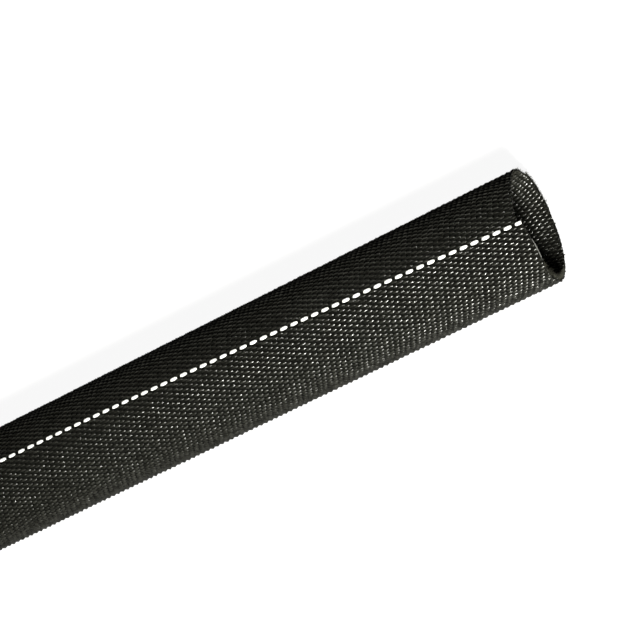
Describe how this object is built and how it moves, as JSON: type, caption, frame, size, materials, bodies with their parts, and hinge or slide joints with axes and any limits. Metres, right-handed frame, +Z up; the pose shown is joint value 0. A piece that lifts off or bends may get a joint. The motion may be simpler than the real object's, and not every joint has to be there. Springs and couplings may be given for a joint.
{
  "type": "wrap-around cable sleeve",
  "caption": "Self-closing woven cable sleeve: a black woven strip heat-set into an overlapping tube, with a dashed white tracer yarn along it.",
  "frame": {"origin": "on the surface that the sleeve lies on, under the middle of the roll", "axes": "+X along the roll towards the pictured cut end, +Z up, +Y to the side where the outer selvedge shows"},
  "size_m": [0.0926, 0.0142, 0.014],
  "materials": {
    "black_cloth": "plain-woven black polyester, slightly glossy filaments",
    "white_yarn": "bright white multifilament yarn"
  },
  "bodies": {
    "root": {"woven_wall": "black_cloth", "tracer_yarn": "white_yarn"}
  },
  "joints": []
}
